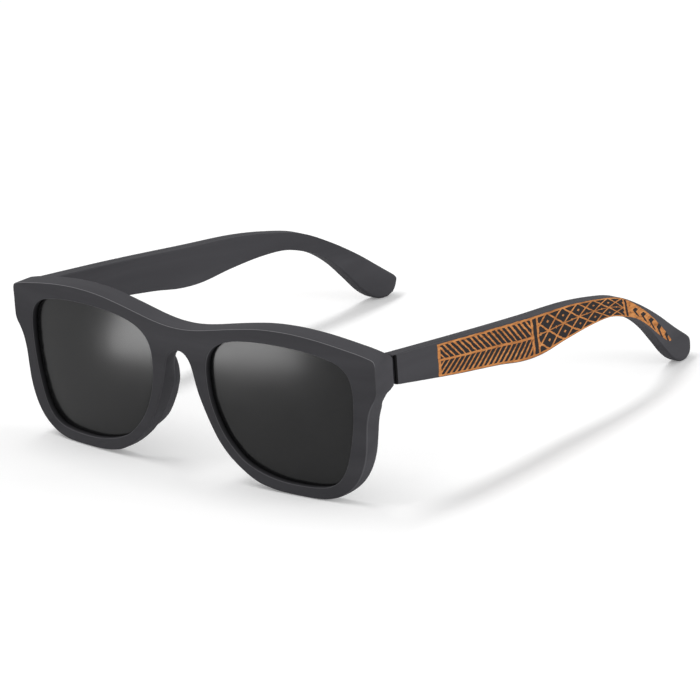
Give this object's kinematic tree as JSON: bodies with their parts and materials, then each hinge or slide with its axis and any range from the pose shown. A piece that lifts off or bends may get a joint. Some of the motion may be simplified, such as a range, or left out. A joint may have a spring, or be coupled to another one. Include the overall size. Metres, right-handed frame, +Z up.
{
  "type": "wooden sunglasses",
  "caption": "Sunglasses with a bowed black wooden front, wooden temples that fold on spring hinges and dark lenses.",
  "frame": {"origin": "on the floor, under the middle of the bounding box", "axes": "+Z up, the front faces -Y and the temples run back along +Y, the wearer's left is +X"},
  "size_m": [0.1428, 0.1578, 0.0489],
  "materials": {
    "black_wood": "black stain under matte lacquer",
    "smoke_lens": "dark grey tint, polished",
    "hinge_steel": "satin",
    "screw_steel": "polished",
    "spring_steel": "drawn wire",
    "bush_brass": "turned"
  },
  "bodies": {
    "front": {"front_frame": "black_wood", "left_lens": "smoke_lens", "left_nose_pad": "black_wood", "left_front_leaf": "hinge_steel", "left_leaf_screws": "screw_steel", "left_hinge_screw": "screw_steel", "right_lens": "smoke_lens", "right_nose_pad": "black_wood", "right_front_leaf": "hinge_steel", "right_leaf_screws": "screw_steel", "right_hinge_screw": "screw_steel"},
    "left_slider": {"left_hinge_slider": "hinge_steel", "left_rod_nut": "hinge_steel"},
    "left_temple": {"left_temple": "black_wood", "left_spring_box": "hinge_steel", "left_box_screws": "screw_steel", "left_guide_bush": "bush_brass", "left_hinge_spring": "spring_steel"},
    "right_slider": {"right_hinge_slider": "hinge_steel", "right_rod_nut": "hinge_steel"},
    "right_temple": {"right_temple": "black_wood", "right_spring_box": "hinge_steel", "right_box_screws": "screw_steel", "right_guide_bush": "bush_brass", "right_hinge_spring": "spring_steel"}
  },
  "joints": [
    {"name": "left_fold", "type": "hinge", "parent": "front", "child": "left_slider", "pos_m": [0.065, -0.06521, 0.0384], "axis": [0, 0, 1], "range_deg": [-6, 88]},
    {"name": "left_spring_slide", "type": "slide", "parent": "left_slider", "child": "left_temple", "axis": [0, 0.9925, -0.1219], "range_m": [0, 0.001], "stiffness_N_per_m": 1500, "springref_m": -0.001, "deforming": ["left_hinge_spring"]},
    {"name": "right_fold", "type": "hinge", "parent": "front", "child": "right_slider", "pos_m": [-0.065, -0.06521, 0.0384], "axis": [0, 0, -1], "range_deg": [-6, 80]},
    {"name": "right_spring_slide", "type": "slide", "parent": "right_slider", "child": "right_temple", "axis": [0, 0.9925, -0.1219], "range_m": [0, 0.001], "stiffness_N_per_m": 1500, "springref_m": -0.001, "deforming": ["right_hinge_spring"]}
  ]
}
